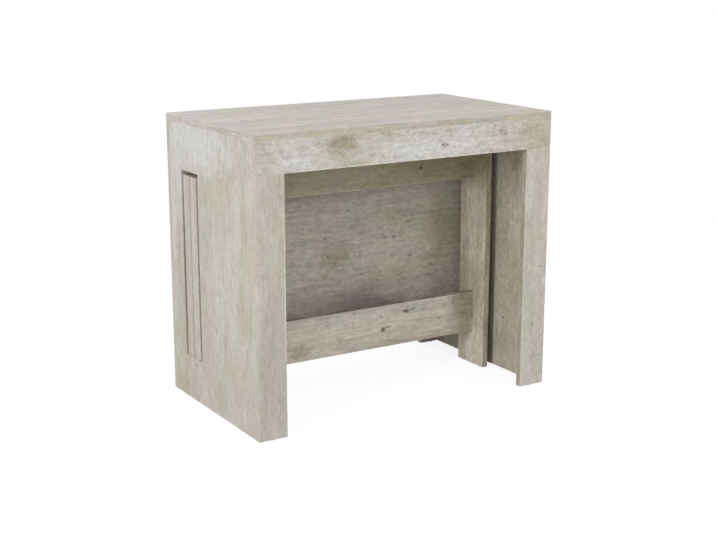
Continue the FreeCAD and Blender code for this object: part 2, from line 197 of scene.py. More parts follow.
class Graph:
    """Nodes of one shader tree, added and wired by short calls."""

    def __init__(self, tree: Tree) -> None:
        """Start on a tree with nothing in it."""
        self.tree = tree
        tree.nodes.clear()

    def feed(self, socket: Socket, value: Wire) -> None:
        """Wire an input to an output, or set the input's own value.

        Args:
            socket: Input to feed.
            value: Output socket or plain value.
        """
        if isinstance(value, Socket):
            self.tree.links.new(value, socket)
        else:
            socket.default_value = value

    def add(self, kind: str, feeds: Feeds | None = None, **settings: object) -> Node:
        """Add a node and feed it.

        Args:
            kind: Type name of the node.
            feeds: What feeds its inputs, by place or name.
            settings: Properties to set on it.

        Returns:
            The new node.
        """
        node = self.tree.nodes.new(kind)
        for name, value in settings.items():
            setattr(node, name, value)
        for key, value in (feeds or {}).items():
            self.feed(node.inputs[key], value)
        return node

    def out(self, kind: str, feeds: Feeds, **settings: object) -> Socket:
        """First output of a new node."""
        return self.add(kind, feeds, **settings).outputs[0]

    def math(self, operation: str, first: Wire, second: Wire = 0.0) -> Socket:
        """Combine two values by a named sum."""
        return self.out("ShaderNodeMath", {0: first, 1: second}, operation=operation)

    def plus(self, first: Wire, second: Wire) -> Socket:
        """Add two values."""
        return self.math("ADD", first, second)

    def less(self, first: Wire, second: Wire) -> Socket:
        """Take the second value from the first."""
        return self.math("SUBTRACT", first, second)

    def times(self, *values: Wire) -> Socket:
        """Multiply values."""
        return reduce(lambda first, second: self.math("MULTIPLY", first, second), values)

    def total(self, *terms: tuple[Wire, float]) -> Socket:
        """Add up values, each times its weight."""
        return reduce(self.plus, [self.times(value, weight) for value, weight in terms])

    def swing(self, value: Wire, size: Wire) -> Socket:
        """How far a cloudy value is from its middle, times a size."""
        return self.times(self.less(value, Cloud.MIDDLE), size)

    def vector(self, operation: str, first: Wire, second: Wire = NOWHERE) -> Socket:
        """Combine two vectors by a named sum."""
        return self.out("ShaderNodeVectorMath", {0: first, 1: second}, operation=operation)

    def length(self, vector: Wire) -> Socket:
        """Length of a vector."""
        return self.add("ShaderNodeVectorMath", {0: vector}, operation="LENGTH").outputs["Value"]

    def split(self, vector: Wire) -> tuple[Socket, ...]:
        """The three values of a vector."""
        return tuple(self.add("ShaderNodeSeparateXYZ", {0: vector}).outputs)

    def join(self, x: Wire, y: Wire, z: Wire) -> Socket:
        """A vector of three values."""
        return self.out("ShaderNodeCombineXYZ", {0: x, 1: y, 2: z})

    def turned(self, vector: Wire, turn: Triple, shift: Triple = NOWHERE) -> Socket:
        """A position or direction, turned by angles about x, y and z and then shifted."""
        feeds = {"Vector": vector, "Rotation": turn, "Location": shift}
        return self.out("ShaderNodeMapping", feeds)

    def noise(self, position: Wire, cloud: Cloud) -> Socket:
        """Lay clouds over positions.

        Args:
            position: Where the clouds are read.
            cloud: Which clouds.

        Returns:
            The cloudy value.
        """
        scaled = self.vector("ADD", self.vector("MULTIPLY", position, cloud.pitch), cloud.shift)
        feeds = {"Vector": scaled, "Scale": 1.0, "Detail": cloud.detail, "Roughness": cloud.roughness}
        return self.out("ShaderNodeTexNoise", feeds)

    def step(self, value: Wire, step: Step) -> Socket:
        """Step smoothly on a value."""
        feeds = {0: value, 1: step.low, 2: step.high, 3: step.start, 4: step.end}
        return self.out("ShaderNodeMapRange", feeds, interpolation_type="SMOOTHSTEP")

    def patches(self, position: Wire, patches: Patches) -> Socket:
        """Mask of cloudy patches."""
        return self.step(self.noise(position, patches.cloud), patches.outline)

    def spots(self, position: Wire, spots: Spots, tear: Wire = 0.0) -> Socket:
        """Mask of scattered spots.

        Args:
            position: Where the spots are read.
            spots: Which spots.
            tear: Added to the distance from a point, for ragged outlines.

        Returns:
            The mask.
        """
        feeds = {"Vector": self.vector("MULTIPLY", position, spots.pitch), "Scale": 1.0}
        points = self.add("ShaderNodeTexVoronoi", feeds).outputs
        near = self.step(self.plus(points["Distance"], tear), spots.outline)
        return self.times(near, self.step(self.split(points["Color"])[0], spots.chance))

    def blend(self, share: Wire, base: Wire, over: Wire) -> Socket:
        """Lay a colour over another by a share, or pass from a position to another."""
        feeds = {MixSocket.SHARE: share, MixSocket.BASE: base, MixSocket.OVER: over}
        return self.add("ShaderNodeMix", feeds, data_type="RGBA").outputs[MixSocket.RESULT]

    def place(self, group: Tree, feeds: Feeds) -> Sockets:
        """Place a shared group, and give its outputs by name."""
        node = self.add("ShaderNodeGroup", feeds, node_tree=group)
        return {socket.name: socket for socket in node.outputs}


@dataclass(frozen=True)
class Group:
    """Shared node group under way: its graph, what it is given and what it takes to its outputs."""

    graph: Graph
    given: Sockets
    taken: Sockets

    @staticmethod
    def start(name: str, inputs: SocketNames, outputs: SocketNames) -> "Group":
        """Start a group with named sockets.

        Args:
            name: Name of the group.
            inputs: Names of its inputs by kind.
            outputs: Names of its outputs by kind.

        Returns:
            The group to build on.
        """
        tree = bpy.data.node_groups.new(name, "ShaderNodeTree")
        for way, sockets in (("INPUT", inputs), ("OUTPUT", outputs)):
            for kind, titles in sockets.items():
                for title in titles:
                    tree.interface.new_socket(name=title, in_out=way, socket_type=kind.value)
        graph = Graph(tree)
        given = {socket.name: socket for socket in graph.add("NodeGroupInput").outputs}
        taken = {socket.name: socket for socket in graph.add("NodeGroupOutput").inputs}
        return Group(graph, given, taken)

    def finish(self, results: Feeds) -> Tree:
        """Feed the group's outputs.

        Args:
            results: What feeds them, by name.

        Returns:
            The finished group.
        """
        for name, value in results.items():
            self.graph.feed(self.taken[name], value)
        return self.graph.tree


class GrainLayer(Enum):
    """Layers of light and dark in the board print, from long streaks to grit."""

    BROAD = Layer(Cloud((2, 30, 30), 4, 0.6, (2, 6, 3)), 0.2, Dial.STREAK)
    MIDDLE = Layer(Cloud((6, 130, 130), 3, 0.6), 0.28, Dial.STREAK)
    FINE = Layer(Cloud((24, 650, 650), 2), 0.25, Dial.STREAK)
    MOTTLE = Layer(Cloud((52, 95, 95), 4, 0.66), 0.48, Dial.CONTRAST)
    GRIT = Layer(Cloud((190, 240, 240), 3, 0.75, (3, 8, 2)), 0.26, Dial.CONTRAST)


@dataclass(frozen=True)
class BoardPrint:
    """Weathered board print: washed patches, wandering streaks, pores and specks along the grain."""

    wander: Cloud = Cloud((1.7, 4.5, 4.5), 1)
    sway: float = 0.035
    rosy: Patches = Patches(Cloud((2.4, 10, 10), 6, 0.62, (1, 9, 4)), Step(0.42, 0.6))
    tanned: Patches = Patches(Cloud((3.2, 12, 12), 7, 0.66, (5, 2, 8)), Step(0.5, 0.64))
    cloud: Cloud = Cloud((4, 10, 10), 8, 0.68)
    cloud_share: float = 0.6
    drift: Cloud = Cloud((1.6, 5, 5), 6, 0.62, (7, 3, 1))
    drift_share: float = 0.4
    washed: Step = Step(0.46, 0.58)
    dab: Cloud = Cloud((22, 40, 40), 6, 0.74, (4, 4, 9))
    smudged: Step = Step(0.52, 0.7)
    smudge_share: float = 0.34
    flecked: Step = Step(0.46, 0.28)
    fleck_share: float = 0.7
    specks: Spots = Spots((9, 16, 16), Step(0.07, 0.015), Step(0.84, 0.98))
    speck_tear: float = 0.1
    speck_share: float = 0.62
    pins: Spots = Spots((34, 60, 60), Step(0.19, 0.06), Step(0.7, 0.92))
    pin_clusters: Patches = Patches(Cloud((5, 10, 10), 2, 0.5, (8, 5, 2)), Step(0.48, 0.6))
    pin_share: float = 0.28
    pores: Spots = Spots((38, 240, 240), Step(0.3, 0.12), Step(0.55, 0.95))
    pore_shade: float = 0.14
    rings: Cloud = Cloud((1.3, 42, 42), 2, 0.5, (9, 1, 6))
    ring_line: Step = Step(0.035, 0.005)
    ring_shade: float = 0.06
    roughness: float = 0.6
    roughness_swing: float = 0.25
    pore_roughness: float = 0.1
    fine_height: float = 0.5
    middle_height: float = 0.8
    pore_height: float = -0.7
    speck_height: float = -1.0

    def build(self) -> Tree:
        """Build the group.

        Returns:
            The group, with the plain colour, the grain's factor on it, roughness and height.
        """
        group = Group.start(
            "board_print",
            {
                Kind.VECTOR: ("Position", "Facing"),
                Kind.COLOUR: ("Ground", "Drift"),
                Kind.VALUE: ("Wash", "Olive", Dial.CONTRAST.value, Dial.STREAK.value),
            },
            {Kind.COLOUR: ("Color",), Kind.VALUE: ("Grain", "Roughness", "Height")},
        )
        graph = group.graph
        grain = self.grain_position(group)
        layers = {layer: graph.noise(grain, layer.value.cloud) for layer in GrainLayer}
        middle = layers[GrainLayer.MIDDLE]
        pore = graph.spots(grain, self.pores)
        speck = graph.spots(grain, self.specks, graph.swing(layers[GrainLayer.MOTTLE], self.speck_tear))
        uneven = graph.plus(graph.swing(middle, self.roughness_swing), self.roughness)
        grain_height = ((layers[GrainLayer.FINE], self.fine_height), (middle, self.middle_height))
        pit_height = ((pore, self.pore_height), (speck, self.speck_height))
        return group.finish(
            {
                "Color": self.colour(group, grain, speck),
                "Grain": self.grain_factor(group, grain, layers, pore),
                "Roughness": graph.plus(uneven, graph.times(pore, self.pore_roughness)),
                "Height": graph.total(*grain_height, *pit_height),
            }
        )

    def grain_position(self, group: Group) -> Socket:
        """Position along the grain, which wanders, and which turns on a board's ends.

        Args:
            group: Group under way.

        Returns:
            The position.
        """
        graph = group.graph
        along, across, through = graph.split(group.given["Position"])
        end_face = graph.step(graph.split(graph.vector("ABSOLUTE", group.given["Facing"]))[0], SQUARE_ON)
        flat = graph.blend(end_face, group.given["Position"], graph.join(across, along, through))
        sway = graph.swing(graph.noise(flat, self.wander), self.sway)
        return graph.vector("ADD", flat, graph.join(0.0, sway, sway))

    def colour(self, group: Group, grain: Socket, speck: Socket) -> Socket:
        """Colour of the print without its grain.

        Args:
            group: Group under way.
            grain: Position along the grain.
            speck: Mask of the specks.

        Returns:
            The colour.
        """
        graph, given = group.graph, group.given
        cloud, drift = graph.noise(grain, self.cloud), graph.noise(grain, self.drift)
        washed = graph.step(graph.total((cloud, self.cloud_share), (drift, self.drift_share)), self.washed)
        dab = graph.noise(grain, self.dab)
        contrast = given[Dial.CONTRAST.value]
        pin = graph.times(graph.spots(grain, self.pins), graph.patches(grain, self.pin_clusters))
        colour = graph.blend(graph.patches(grain, self.rosy), given["Ground"], given["Drift"])
        for share, tone in (
            (graph.times(graph.patches(grain, self.tanned), given["Olive"]), Tone.OLIVE),
            (graph.times(washed, given["Wash"]), Tone.PALE),
            (graph.times(graph.step(dab, self.smudged), contrast, self.smudge_share), Tone.SMUDGE_AND_SHADE),
            (graph.times(graph.step(dab, self.flecked), given["Wash"], self.fleck_share), Tone.PALE),
            (graph.times(speck, self.speck_share), Tone.UMBER),
            (graph.times(pin, contrast, self.pin_share), Tone.UMBER),
        ):
            colour = graph.blend(share, colour, tone.value)
        return colour

    def grain_factor(
        self, group: Group, grain: Socket, layers: dict[GrainLayer, Socket], pore: Socket
    ) -> Socket:
        """Light and dark that the grain lays on the colour.

        Args:
            group: Group under way.
            grain: Position along the grain.
            layers: Cloudy value of each layer.
            pore: Mask of the pores.

        Returns:
            The factor on the colour.
        """
        graph = group.graph
        ring = graph.math("ABSOLUTE", graph.less(graph.noise(grain, self.rings), Cloud.MIDDLE))
        shade = graph.total((graph.step(ring, self.ring_line), self.ring_shade), (pore, self.pore_shade))
        factor = graph.less(1.0, shade)
        for layer, value in layers.items():
            swing = graph.swing(value, layer.value.strength)
            factor = graph.plus(factor, graph.times(swing, group.given[layer.value.dial.value]))
        return factor


@dataclass(frozen=True)
class StainAndShadePatch:
    """Ragged soft patch about a place, for stains and for painted shade."""

    torn: Cloud = Cloud(even(2.6), 6, 0.75)
    places_apart: float = 61.0
    outline: Step = Step(1.0, 0.25)
    gaps: Patches = Patches(Cloud(even(120), 4, 0.7), Step(0.6, 0.36))

    def build(self) -> Tree:
        """Build the group.

        Returns:
            The group, with the patch's mask.
        """
        group = Group.start(
            "stain_and_shade",
            {Kind.VECTOR: ("Position", "Centre", "Radii"), Kind.VALUE: ("Ragged", "Speckle")},
            {Kind.VALUE: ("Mask",)},
        )
        graph, given = group.graph, group.given
        offset = graph.vector("SUBTRACT", given["Position"], given["Centre"])
        offset = graph.vector("DIVIDE", offset, given["Radii"])
        elsewhere = graph.vector("MULTIPLY", given["Centre"], even(self.places_apart))
        torn = graph.noise(graph.vector("ADD", offset, elsewhere), self.torn)
        reach = graph.plus(graph.length(offset), graph.swing(torn, given["Ragged"]))
        gaps = graph.times(graph.patches(given["Position"], self.gaps), given["Speckle"])
        return group.finish({"Mask": graph.times(graph.step(reach, self.outline), graph.less(1.0, gaps))})


@dataclass(frozen=True)
class ArrisWear:
    """Wear along the arrises of a board."""

    chipped: Cloud = Cloud(even(55), 3, 0.65)
    chip: float = 2.2
    fade: Step = Step(1.0, 0.1)

    def build(self) -> Tree:
        """Build the group.

        Returns:
            The group, with a mask that fades from the arris inwards.
        """
        group = Group.start(
            "arris",
            {Kind.VECTOR: ("Position", "Centre", "Half"), Kind.VALUE: ("Width",)},
            {Kind.VALUE: ("Mask",)},
        )
        graph, given = group.graph, group.given
        offset = graph.vector("ABSOLUTE", graph.vector("SUBTRACT", given["Position"], given["Centre"]))
        first, second, third = graph.split(graph.vector("SUBTRACT", given["Half"], offset))
        lesser = graph.math("MINIMUM", first, second)
        greater = graph.math("MAXIMUM", first, second)
        inward = graph.math("MAXIMUM", lesser, graph.math("MINIMUM", greater, third))
        chip = graph.swing(graph.noise(given["Position"], self.chipped), self.chip)
        uneven = graph.plus(graph.math("DIVIDE", inward, given["Width"]), chip)
        return group.finish({"Mask": graph.step(uneven, self.fade)})


@dataclass(frozen=True)
class DrawnLines:
    """Fine lines that a die or a brush leaves on metal, with faint blotches."""

    line_detail: float = 3.0
    line_roughness: float = 0.6
    blotch: Cloud = Cloud(even(35), 4, 0.6)

    def build(self) -> Tree:
        """Build the group.

        Returns:
            The group, with the lines, which are heights too, and the blotches.
        """
        inputs = {Kind.VECTOR: ("Position", "Pitch")}
        group = Group.start("drawn_lines", inputs, {Kind.VALUE: ("Lines", "Blotch")})
        position = group.given["Position"]
        lines = Cloud(group.given["Pitch"], self.line_detail, self.line_roughness)
        blotch = group.graph.noise(position, self.blotch)
        return group.finish({"Lines": group.graph.noise(position, lines), "Blotch": blotch})


@dataclass(frozen=True)
class MouldedGrain:
    """Fine grain of a moulded or turned face."""

    soft: Cloud = Cloud(even(0.08), 3, 0.6)
    grain: Cloud = Cloud(even(1), 2, 0.7)

    def build(self) -> Tree:
        """Build the group.

        Returns:
            The group, with a mottle and a height.
        """
        inputs = {Kind.VECTOR: ("Position", "Pitch")}
        group = Group.start("moulding", inputs, {Kind.VALUE: ("Mottle", "Height")})
        scaled = group.graph.vector("MULTIPLY", group.given["Position"], group.given["Pitch"])
        mottle = group.graph.noise(scaled, self.soft)
        return group.finish({"Mottle": mottle, "Height": group.graph.noise(scaled, self.grain)})


# Shader node groups that more than one material uses, each built once.
BOARD_PRINT = BoardPrint().build()
STAIN_AND_SHADE_PATCH = StainAndShadePatch().build()
ARRIS_WEAR = ArrisWear().build()
DRAWN_LINES = DrawnLines().build()
MOULDED_GRAIN = MouldedGrain().build()


@dataclass(frozen=True)
class Surface:
    """Material under way: its graph, its shader and where its points lie."""

    graph: Graph
    shader: Node
    position: Socket
    normal: Socket
    material: Material

    @staticmethod
    def start(name: str) -> "Surface":
        """Make a material with one shader.

        Args:
            name: Name of the material.

        Returns:
            The surface to build on.
        """
        material = bpy.data.materials.new(name)
        material.use_nodes = True
        graph = Graph(material.node_tree)
        shader = graph.add("ShaderNodeBsdfPrincipled")
        graph.add("ShaderNodeOutputMaterial", {"Surface": shader.outputs[0]})
        points = graph.add("ShaderNodeTexCoord").outputs
        return Surface(graph, shader, points["Object"], points["Normal"], material)

    def set(self, name: str, value: Wire) -> None:
        """Feed an input of the shader, or set its own value."""
        self.graph.feed(self.shader.inputs[name], value)

    def relief(self, height: Wire, strength: float, depth: float) -> None:
        """Bump the surface by a height, showing a share of the depth that a height of 1 stands for."""
        feeds = {"Strength": strength, "Distance": depth, "Height": height}
        self.set("Normal", self.graph.out("ShaderNodeBump", feeds))


@dataclass(frozen=True)
class StainAndShade:
    """Soft or dark mark on a board: a stain, or a patch of painted shade."""

    tone: Tone
    centre: Triple
    radii: Triple
    strength: float
    ragged: float
    speckle: float

    def lay(self, surface: Surface, colour: Socket) -> Socket:
        """Lay the stain or the painted shade over a colour.

        Args:
            surface: Material under way.
            colour: Colour below.

        Returns:
            The stained colour.
        """
        feeds = {"Position": surface.position, "Centre": self.centre, "Radii": self.radii}
        feeds |= {"Ragged": self.ragged, "Speckle": self.speckle}
        share = surface.graph.times(surface.graph.place(STAIN_AND_SHADE_PATCH, feeds)["Mask"], self.strength)
        return surface.graph.blend(share, colour, self.tone.value)


Mark = tuple[Tone, Pair, Pair, float]


@dataclass(frozen=True)
class Face:
    """Flat face of a board, square to one axis. Marks have places and reaches along its other two."""

    axis: Axis
    level: float

    MARK_DEPTH = 0.016
    KNOT_TEAR = 2.4
    SHADE_TEAR = 0.5

    @staticmethod
    def low(node: str, axis: Axis) -> "Face":
        """The face on the lower side of a node along an axis."""
        return Face(axis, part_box(node)[0][axis])

    def lift(self, along: Pair, across: float) -> Triple:
        """Put a value across the face between two values along it."""
        return (*along[: self.axis], across, *along[self.axis :])

    def stains_and_shades(self, *marks: Mark, ragged: float = 1.9, speckle: float = 0.25) -> tuple[StainAndShade, ...]:
        """Patches of colour on the face: stains, and in some places painted shade.

        Args:
            marks: Tone, place, reach and strength of each.
            ragged: How torn their outlines are.
            speckle: How much of them fine gaps take out.

        Returns:
            The stains.
        """
        return tuple(
            StainAndShade(tone, self.lift(at, self.level), self.lift(reach, self.MARK_DEPTH), share, ragged, speckle)
            for tone, at, reach, share in marks
        )

    def knots(self, *marks: tuple[Pair, Pair, float]) -> tuple[StainAndShade, ...]:
        """Small dark knots with torn outlines, by the place, reach and strength of each."""
        return self.stains_and_shades(*((Tone.UMBER, *mark) for mark in marks), ragged=self.KNOT_TEAR, speckle=0.0)


@dataclass(frozen=True)
class BoardFinish:
    """Weathered laminate on one board. The seed says which part of the print the board gets."""

    lay: BoardLay
    seed: int
    ground: Ground = Ground.ROSY
    wash: float = 0.7
    olive: float = 0.6
    contrast: float = 1.0
    streak: float = 1.0
    edge_band_and_shade: float = 0.1
    edge_band_and_shade_tone: Tone = Tone.BAND
    stains_and_shades: tuple[StainAndShade, ...] = ()

    SEED_STRIDE = (1.73, 0.97, 2.31)
    EDGE_BAND_AND_SHADE_PATCHES = Patches(Cloud((16, 60, 60), 5, 0.7), Step(0.34, 0.58, 0.3))
    ARRIS_WIDTH = 0.0022
    ARRIS_WEAR = 0.22
    GRAIN_DEPTH = 0.0004
    GRAIN_STRENGTH = 0.22
    SHEEN = 0.2

    def material(self, node: str) -> Material:
        """Make the finish for a board.

        Args:
            node: Name of the board's node.

        Returns:
            The material.
        """
        surface = Surface.start(node)
        graph = surface.graph
        facing = graph.turned(surface.normal, self.lay.turn())
        shift = tuple(self.seed * stride for stride in self.SEED_STRIDE)
        ground, drift = self.ground.value
        feeds = {
            "Position": graph.turned(surface.position, self.lay.turn(), shift),
            "Facing": facing,
            "Ground": ground.value,
            "Drift": drift.value,
            "Wash": self.wash,
            "Olive": self.olive,
            Dial.CONTRAST.value: self.contrast,
            Dial.STREAK.value: self.streak,
        }
        printed = graph.place(BOARD_PRINT, feeds)
        colour = printed["Color"]
        for stain_and_shade in self.stains_and_shades:
            colour = stain_and_shade.lay(surface, colour)
        colour = self.edge_banded_and_shaded(surface, facing, colour)
        colour = self.worn(surface, node, colour)
        grain = graph.join(printed["Grain"], printed["Grain"], printed["Grain"])
        surface.set("Base Color", graph.vector("MULTIPLY", colour, grain))
        surface.set("Roughness", printed["Roughness"])
        surface.set("Specular IOR Level", self.SHEEN)
        surface.relief(printed["Height"], self.GRAIN_STRENGTH, self.GRAIN_DEPTH)
        return surface.material

    def edge_banded_and_shaded(self, surface: Surface, facing: Socket, colour: Socket) -> Socket:
        """Colour with a tone in patches on the board's long edges: mostly a glued edge band, and painted
        shade on the stored leaves.

        Args:
            surface: Material under way.
            facing: Direction that it looks in, turned to the grain.
            colour: Colour below.

        Returns:
            The colour with the edge tone on it.
        """
        graph = surface.graph
        edge_face = graph.step(graph.math("ABSOLUTE", graph.split(facing)[1]), SQUARE_ON)
        patchy = graph.patches(graph.turned(surface.position, self.lay.turn()), self.EDGE_BAND_AND_SHADE_PATCHES)
        return graph.blend(graph.times(edge_face, patchy, self.edge_band_and_shade), colour, self.edge_band_and_shade_tone.value)

    def worn(self, surface: Surface, node: str, colour: Socket) -> Socket:
        """Colour with pale wear on the arrises.

        Args:
            surface: Material under way.
            node: Name of the board's node.
            colour: Colour below.

        Returns:
            The worn colour.
        """
        low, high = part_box(node)
        feeds = {"Position": surface.position, "Width": self.ARRIS_WIDTH}
        feeds |= {"Centre": tuple((low + high) / 2), "Half": tuple((high - low) / 2)}
        mask = surface.graph.place(ARRIS_WEAR, feeds)["Mask"]
        return surface.graph.blend(surface.graph.times(mask, self.ARRIS_WEAR), colour, Tone.WORN.value)


@dataclass(frozen=True)
class MetalFinish:
    """Bare or plated metal with drawn or brushed lines."""

    bright: Colour
    dull: Colour
    pitch: Triple
    roughness: float

    BLOTCH_SHARE = 0.6
    LINE_SHARE = 0.4
    DULLED = Step(0.38, 0.62)
    BLOTCH_SPAN = (0.3, 0.7)
    SMOOTHER = 0.08
    ROUGHER = 0.1
    LINE_STRENGTH = 0.25
    LINE_DEPTH = 0.00006

    def material(self, node: str) -> Material:
        """Make the finish for a metal piece.

        Args:
            node: Name of the piece's node.

        Returns:
            The material.
        """
        surface = Surface.start(node)
        graph = surface.graph
        drawn = graph.place(DRAWN_LINES, {"Position": surface.position, "Pitch": self.pitch})
        dulled = graph.total((drawn["Blotch"], self.BLOTCH_SHARE), (drawn["Lines"], self.LINE_SHARE))
        rough = Step(*self.BLOTCH_SPAN, self.roughness - self.SMOOTHER, self.roughness + self.ROUGHER)
        surface.set("Base Color", graph.blend(graph.step(dulled, self.DULLED), self.bright, self.dull))
        surface.set("Roughness", graph.step(drawn["Blotch"], rough))
        surface.set("Metallic", 1.0)
        surface.relief(drawn["Lines"], self.LINE_STRENGTH, self.LINE_DEPTH)
        return surface.material


@dataclass(frozen=True)
class MouldedFinish:
    """Moulded plastic or plain turned wood with a fine even grain."""

    light: Colour
    dark: Colour
    roughness: float
    pitch: float = 1400

    DARKENED = Step(0.35, 0.65)
    GRAIN_SPAN = (0.3, 0.7)
    UNEVEN = 0.06
    GRAIN_STRENGTH = 0.35
    GRAIN_DEPTH = 0.00008

    def material(self, node: str) -> Material:
        """Make the finish for a moulded piece.

        Args:
            node: Name of the piece's node.

        Returns:
            The material.
        """
        surface = Surface.start(node)
        graph = surface.graph
        feeds = {"Position": surface.position, "Pitch": even(self.pitch)}
        moulded = graph.place(MOULDED_GRAIN, feeds)
        rough = Step(*self.GRAIN_SPAN, self.roughness - self.UNEVEN, self.roughness + self.UNEVEN)
        darkened = graph.step(moulded["Mottle"], self.DARKENED)
        surface.set("Base Color", graph.blend(darkened, self.light, self.dark))
        surface.set("Roughness", graph.step(moulded["Height"], rough))
        surface.relief(moulded["Height"], self.GRAIN_STRENGTH, self.GRAIN_DEPTH)
        return surface.material


Finish = BoardFinish | MetalFinish | MouldedFinish

ALUMINIUM = MetalFinish(linear(214, 216, 218), linear(186, 189, 193), (900, 3, 900), roughness=0.36)
ZINC = MetalFinish(linear(206, 209, 212), linear(168, 172, 178), even(160), roughness=0.38)
TURNED_STEEL = MetalFinish(linear(214, 214, 212), linear(176, 175, 172), (300, 300, 2600), roughness=0.26)
NYLON = MouldedFinish(linear(226, 224, 216), linear(206, 203, 192), roughness=0.48)
GLIDE_PLASTIC = MouldedFinish(linear(206, 203, 197), linear(188, 184, 176), roughness=0.55)
BEECH = MouldedFinish(linear(205, 170, 124), linear(176, 137, 92), roughness=0.62, pitch=500)


def dress(node: str, finish: Finish) -> None:
    """Give a node its finish.

    Args:
        node: Name of the node.
        finish: Finish to make for it.
    """
    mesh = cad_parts[node].data
    mesh.materials.clear()
    mesh.materials.append(finish.material(node))
    LOG.info("dressed %s with %s", node, type(finish).__name__)


@dataclass
class HalfShell:
    """One half of the table: top, apron, two side panels, two stiles and their hardware."""

    name: str
    top: BoardFinish
    apron: BoardFinish
    sides: dict[str, BoardFinish]
    stiles: dict[str, BoardFinish]

    def dress(self) -> None:
        """Dress every piece of the half."""
        dress(f"{self.name}_top", self.top)
        dress(f"{self.name}_apron", self.apron)
        for hand in HANDS:
            dress(f"{self.name}_{hand}_side", self.sides[hand])
            dress(f"{self.name}_{hand}_stile", self.stiles[hand])
        dress(f"{self.name}_dowels", BEECH)
        for hardware in ("corner_brackets", "bar_brackets", "screws"):
            dress(f"{self.name}_{hardware}", ZINC)
        dress(f"{self.name}_glides", GLIDE_PLASTIC)


@dataclass
class CentreFrame:
    """Two legs and two rails that hang from the middle bars."""

    legs: dict[str, BoardFinish]
    rails: dict[str, BoardFinish]

    def dress(self) -> None:
        """Dress every piece of the centre frame."""
        for hand, finish in self.legs.items():
            dress(f"centre_{hand}_leg", finish)
        for level, finish in self.rails.items():
            dress(f"centre_{level}_rail", finish)
        for hardware in ("bolts", "hangers", "screws"):
            dress(f"centre_{hardware}", ZINC)
        dress("centre_glides", GLIDE_PLASTIC)


@dataclass
class StoredLeaves:
    """Leaves that stand on edge in the rear half, with their pins."""

    boards: tuple[BoardFinish, ...]

    def dress(self) -> None:
        """Dress every leaf and its pins, and the pins of the rear top."""
        for number, finish in enumerate(self.boards, start=1):
            dress(f"leaf_{number}_board", finish)
            dress(f"leaf_{number}_pins", TURNED_STEEL)
        dress("rear_seam_pins", TURNED_STEEL)


@dataclass
class SlideTrain:
    """Telescopic bars under the tops, and the blocks that each moving bar runs on."""

    bars: int = sum(name.startswith("slide_bar_left_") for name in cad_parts)
    fixed_bar: int = 1

    def dress(self) -> None:
        """Dress every bar and block."""
        for number in range(1, self.bars + 1):
            for hand in HANDS:
                dress(f"slide_bar_{hand}_{number}", ALUMINIUM)
            if number != self.fixed_bar:
                dress(f"slide_blocks_{number}", NYLON)


def bearing(azimuth: float, elevation: float) -> Vector:
    """Direction from the table to a lamp or camera.

    Args:
        azimuth: Degrees from straight in front, towards the table's right.
        elevation: Degrees above the floor.

    Returns:
        The unit direction.
    """
    turn, rise = math.radians(azimuth), math.radians(elevation)
    return Vector((math.sin(turn) * math.cos(rise), -math.cos(turn) * math.cos(rise), math.sin(rise)))


@dataclass
class Lamp:
    """Soft box lamp that faces the middle of the table."""

    name: str
    azimuth: float
    elevation: float
    power: float
    wide: float = 3.0
    tall: float = 3.0
    distance: float = 4.5
    aim: Triple = (0.0, 0.0, 0.4)

    def build(self) -> None:
        """Hang the lamp and aim it."""
        data = bpy.data.lights.new(self.name, "AREA")
        data.shape = "RECTANGLE"
        data.size = self.wide
        data.size_y = self.tall
        data.energy = self.power
        lamp = bpy.data.objects.new(self.name, data)
        out = bearing(self.azimuth, self.elevation)
        lamp.location = Vector(self.aim) + out * self.distance
        lamp.rotation_euler = (-out).to_track_quat("-Z", "Y").to_euler()
        bpy.context.scene.collection.objects.link(lamp)


